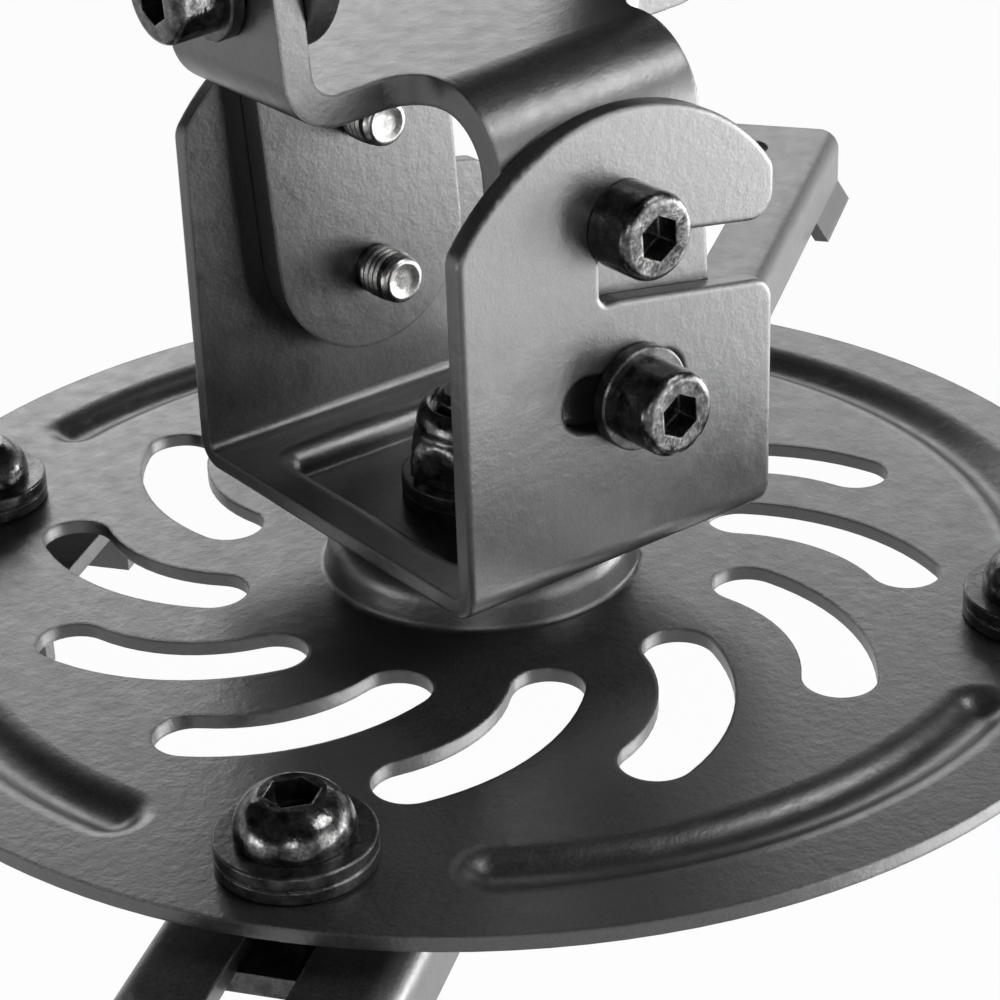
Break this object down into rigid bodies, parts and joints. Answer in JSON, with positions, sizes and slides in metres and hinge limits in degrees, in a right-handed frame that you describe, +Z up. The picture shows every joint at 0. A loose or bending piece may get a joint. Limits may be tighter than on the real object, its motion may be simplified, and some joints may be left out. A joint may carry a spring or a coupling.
{
  "type": "projector ceiling mount",
  "caption": "Folded steel ceiling mount with roll, tilt and swivel joints and a slotted disc carrying sliding, swinging channel arms for a projector.",
  "frame": {"origin": "on the ceiling face, on the swivel axis", "axes": "+Z up into the ceiling, X along the tilt axis, Y along the roll axis"},
  "size_m": [0.258, 0.2575, 0.128],
  "materials": {
    "powder_coat": "black satin powder coat on steel sheet",
    "black_oxide": "glossy black oxide on steel",
    "washer_steel": "black plated steel"
  },
  "bodies": {
    "ceiling": {"ceiling_bracket": "powder_coat", "roll_pivot_screws": "black_oxide", "roll_lock_screws": "black_oxide", "roll_lock_washers": "washer_steel"},
    "yoke_body": {"yoke": "powder_coat", "tilt_pivot_screws": "black_oxide", "tilt_lock_screws": "black_oxide", "tilt_lock_washers": "washer_steel"},
    "clevis_body": {"clevis": "powder_coat", "swivel_bolt": "black_oxide", "swivel_washers": "washer_steel", "swivel_nut": "black_oxide"},
    "disc_body": {"disc": "powder_coat"},
    "clamp_1": {"arm_screw_1": "black_oxide", "arm_washers_1": "washer_steel", "arm_spacer_1": "washer_steel", "nut_plate_1": "washer_steel"},
    "arm_body_1": {"arm_1": "powder_coat"},
    "clamp_2": {"arm_screw_2": "black_oxide", "arm_washers_2": "washer_steel", "arm_spacer_2": "washer_steel", "nut_plate_2": "washer_steel"},
    "arm_body_2": {"arm_2": "powder_coat"},
    "clamp_3": {"arm_screw_3": "black_oxide", "arm_washers_3": "washer_steel", "arm_spacer_3": "washer_steel", "nut_plate_3": "washer_steel"},
    "arm_body_3": {"arm_3": "powder_coat"},
    "clamp_4": {"arm_screw_4": "black_oxide", "arm_washers_4": "washer_steel", "arm_spacer_4": "washer_steel", "nut_plate_4": "washer_steel"},
    "arm_body_4": {"arm_4": "powder_coat"}
  },
  "joints": [
    {"name": "roll", "type": "hinge", "parent": "ceiling", "child": "yoke_body", "pos_m": [0, 0, -0.0174], "axis": [0, 1, 0], "range_deg": [-8, 8]},
    {"name": "tilt", "type": "hinge", "parent": "yoke_body", "child": "clevis_body", "pos_m": [0, 0, -0.06], "axis": [1, 0, 0], "range_deg": [-11.3, 18.7]},
    {"name": "swivel", "type": "hinge", "parent": "clevis_body", "child": "disc_body", "pos_m": [0, -0.00284, -0.10391], "axis": [0, 0.0645, 0.9979], "continuous": true},
    {"name": "arm_swing_1", "type": "hinge", "parent": "disc_body", "child": "clamp_1", "pos_m": [0.04648, 0.03111, -0.1061], "axis": [0, 0.0645, 0.9979], "range_deg": [-30, 30]},
    {"name": "arm_slide_1", "type": "slide", "parent": "clamp_1", "child": "arm_body_1", "axis": [0.807, 0.5894, -0.0381], "range_m": [-0.03, 0.0025]},
    {"name": "arm_swing_2", "type": "hinge", "parent": "disc_body", "child": "clamp_2", "pos_m": [-0.03402, 0.04355, -0.10691], "axis": [0, 0.0645, 0.9979], "range_deg": [-30, 30]},
    {"name": "arm_slide_2", "type": "slide", "parent": "clamp_2", "child": "arm_body_2", "axis": [-0.5906, 0.8053, -0.0521], "range_m": [-0.03, 0.0025]},
    {"name": "arm_swing_3", "type": "hinge", "parent": "disc_body", "child": "clamp_3", "pos_m": [-0.04648, -0.03679, -0.10171], "axis": [0, 0.0645, 0.9979], "range_deg": [-30, 30]},
    {"name": "arm_slide_3", "type": "slide", "parent": "clamp_3", "child": "arm_body_3", "axis": [-0.807, -0.5894, 0.0381], "range_m": [-0.03, 0.0025]},
    {"name": "arm_swing_4", "type": "hinge", "parent": "disc_body", "child": "clamp_4", "pos_m": [0.03402, -0.04922, -0.10091], "axis": [0, 0.0645, 0.9979], "range_deg": [-30, 30]},
    {"name": "arm_slide_4", "type": "slide", "parent": "clamp_4", "child": "arm_body_4", "axis": [0.5906, -0.8053, 0.0521], "range_m": [-0.03, 0.0025]}
  ]
}
